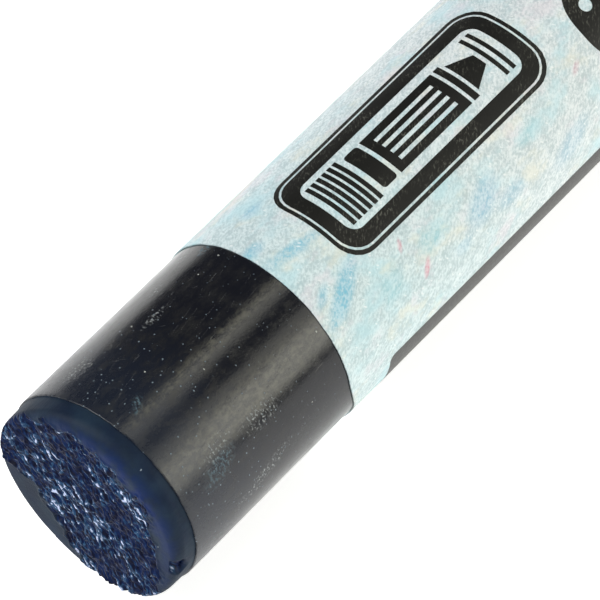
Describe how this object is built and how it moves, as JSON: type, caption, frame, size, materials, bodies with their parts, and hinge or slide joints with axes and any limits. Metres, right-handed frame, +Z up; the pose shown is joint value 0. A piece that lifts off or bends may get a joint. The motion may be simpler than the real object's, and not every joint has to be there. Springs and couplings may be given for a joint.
{
  "type": "paper-wrapped crayon",
  "caption": "Thick round woodless crayon: a wax stick in a glossy lacquer skin, with a glued paper sleeve held on it by friction.",
  "frame": {"origin": "under the middle of the crayon's length, on the surface that it lies on", "axes": "+X along the crayon from its working tip to its back end, +Z up"},
  "size_m": [0.1, 0.0112, 0.0111],
  "materials": {
    "wax": "pigmented dark-blue wax, dull where it is worn, rough where it is broken",
    "lacquer": "glossy near-black lacquer with fine scratches and wax dust",
    "paper": "coated off-white paper with faint pastel smears",
    "ink": "black print, a little worn",
    "glue": "dried clear adhesive"
  },
  "bodies": {
    "stick": {"wax_core": "wax", "lacquer_coat": "lacquer"},
    "sleeve": {"paper_wrapper": "paper", "seam_glue": "glue"}
  },
  "joints": [
    {"name": "sleeve_slide", "type": "slide", "parent": "stick", "child": "sleeve", "axis": [1, 0, 0], "range_m": [-0.011, 0.03]}
  ]
}
